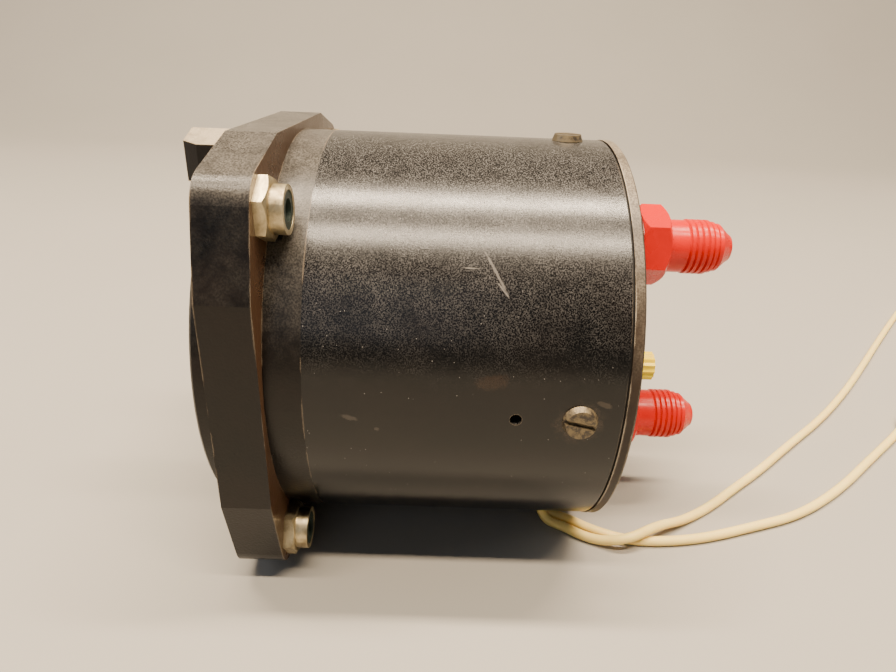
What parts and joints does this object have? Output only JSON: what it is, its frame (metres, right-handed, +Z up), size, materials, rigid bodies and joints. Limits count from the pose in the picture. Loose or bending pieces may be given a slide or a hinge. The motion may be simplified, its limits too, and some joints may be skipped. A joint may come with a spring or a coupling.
{
  "type": "dual fuel pressure indicator",
  "caption": "Round-faced aircraft panel pressure indicator with square flange, lamp hood, black case, capped rear pressure ports and lamp leads",
  "frame": {"origin": "centre of the flange's front face, the plane that meets the instrument panel", "axes": "+Y points to the rear of the case, -Y is the dial side, +Z is up as the dial is read, +X is the right side as the dial is read"},
  "size_m": [0.175, 0.2747, 0.0826],
  "materials": {
    "flange_paint": "worn satin black paint",
    "case_paint": "fine textured black paint",
    "glass": "clear flat glass",
    "rubber": "black rubber",
    "dial_black": "matte black dial paint",
    "dial_white": "matte white paint",
    "steel": "plain steel",
    "screw_paint": "black paint chipped from steel",
    "brass": "plain brass",
    "nut_brass": "dull plated brass",
    "fibre": "dark green fibre",
    "aluminium": "machined aluminium",
    "bronze": "drawn phosphor bronze",
    "red_plastic": "satin red plastic",
    "yellow_plastic": "satin yellow plastic",
    "wire_cream": "cream wire covering",
    "lamp_glass": "frosted lamp glass"
  },
  "bodies": {
    "case": {"bezel_flange": "flange_paint", "bezel_ring": "flange_paint", "cover_glass": "glass", "glass_gasket": "rubber", "dial": "dial_black", "dial_posts": "brass", "dial_screws": "steel", "lamp_hood": "case_paint", "lamp": "lamp_glass", "case_shell": "case_paint", "case_screws": "screw_paint", "back_seal": "rubber", "back_plate": "flange_paint", "mounting_nuts": "nut_brass", "nut_inserts": "fibre", "port_nipple_upper": "aluminium", "port_nipple_lower": "aluminium", "vent_nipple": "brass", "movement_front_plate": "brass", "movement_rear_plate": "brass", "movement_pillars": "brass", "frame_posts": "steel", "socket_left": "brass", "socket_right": "brass", "hairsprings": "bronze", "grommet": "rubber", "wire_a": "wire_cream", "wire_b": "wire_cream", "wire_a_coil": "wire_cream", "wire_b_coil": "wire_cream"},
    "bourdon_tube_left_body": {"bourdon_tube_left": "bronze"},
    "bourdon_tube_right_body": {"bourdon_tube_right": "bronze"},
    "sector_left_body": {"sector_left": "brass"},
    "sector_right_body": {"sector_right": "brass"},
    "link_left_body": {"link_left": "brass"},
    "link_right_body": {"link_right": "brass"},
    "pointer_left_body": {"pinion_left": "steel", "pointer_left": "dial_white"},
    "pointer_right_body": {"pinion_right": "steel", "pointer_right": "dial_white"},
    "red_cap_upper_body": {"red_cap_upper": "red_plastic"},
    "red_cap_lower_body": {"red_cap_lower": "red_plastic"},
    "yellow_cap_body": {"yellow_cap": "yellow_plastic"}
  },
  "joints": [
    {"name": "sector_right_turn", "type": "hinge", "parent": "case", "child": "sector_right_body", "pos_m": [0.01918, 0.0166, -0.01018], "axis": [0, 1, 0], "range_deg": [0, 24]},
    {"name": "pointer_right_turn", "type": "hinge", "parent": "case", "child": "pointer_right_body", "pos_m": [0.009, 0.0166, 0], "axis": [0, 1, 0], "range_deg": [-120, 0]},
    {"name": "bourdon_tube_right_swing", "type": "hinge", "parent": "case", "child": "bourdon_tube_right_body", "pos_m": [0.00846, 0.0295, 0.00525], "axis": [0, 1, 0], "range_deg": [0, 6.95], "deforming": ["bourdon_tube_right"]},
    {"name": "link_right_turn", "type": "hinge", "parent": "bourdon_tube_right_body", "child": "link_right_body", "pos_m": [0.02993, 0.0179, -0.00547], "axis": [0, 1, 0], "range_deg": [-6.95, 0]},
    {"name": "sector_left_turn", "type": "hinge", "parent": "case", "child": "sector_left_body", "pos_m": [-0.01918, 0.0166, -0.01018], "axis": [0, 1, 0], "range_deg": [-24, 0]},
    {"name": "pointer_left_turn", "type": "hinge", "parent": "case", "child": "pointer_left_body", "pos_m": [-0.009, 0.0166, 0], "axis": [0, 1, 0], "range_deg": [0, 120]},
    {"name": "bourdon_tube_left_swing", "type": "hinge", "parent": "case", "child": "bourdon_tube_left_body", "pos_m": [-0.00846, 0.0295, 0.00525], "axis": [0, 1, 0], "range_deg": [-6.95, 0], "deforming": ["bourdon_tube_left"]},
    {"name": "link_left_turn", "type": "hinge", "parent": "bourdon_tube_left_body", "child": "link_left_body", "pos_m": [-0.02993, 0.0179, -0.00547], "axis": [0, 1, 0], "range_deg": [0, 6.95]},
    {"name": "red_cap_upper_slide", "type": "slide", "parent": "case", "child": "red_cap_upper_body", "axis": [0, 1, 0], "range_m": [0, 0.014]},
    {"name": "red_cap_lower_slide", "type": "slide", "parent": "case", "child": "red_cap_lower_body", "axis": [0, 1, 0], "range_m": [0, 0.014]},
    {"name": "yellow_cap_slide", "type": "slide", "parent": "case", "child": "yellow_cap_body", "axis": [0, 1, 0], "range_m": [0, 0.006]}
  ],
  "couplings": [
    {"joint": "pointer_right_turn", "follows": "sector_right_turn", "ratio": -5},
    {"joint": "link_right_turn", "follows": "sector_right_turn", "ratio": -0.28954},
    {"joint": "bourdon_tube_right_swing", "follows": "sector_right_turn", "ratio": 0.28954},
    {"joint": "pointer_left_turn", "follows": "sector_left_turn", "ratio": -5},
    {"joint": "link_left_turn", "follows": "sector_left_turn", "ratio": -0.28954},
    {"joint": "bourdon_tube_left_swing", "follows": "sector_left_turn", "ratio": 0.28954}
  ]
}
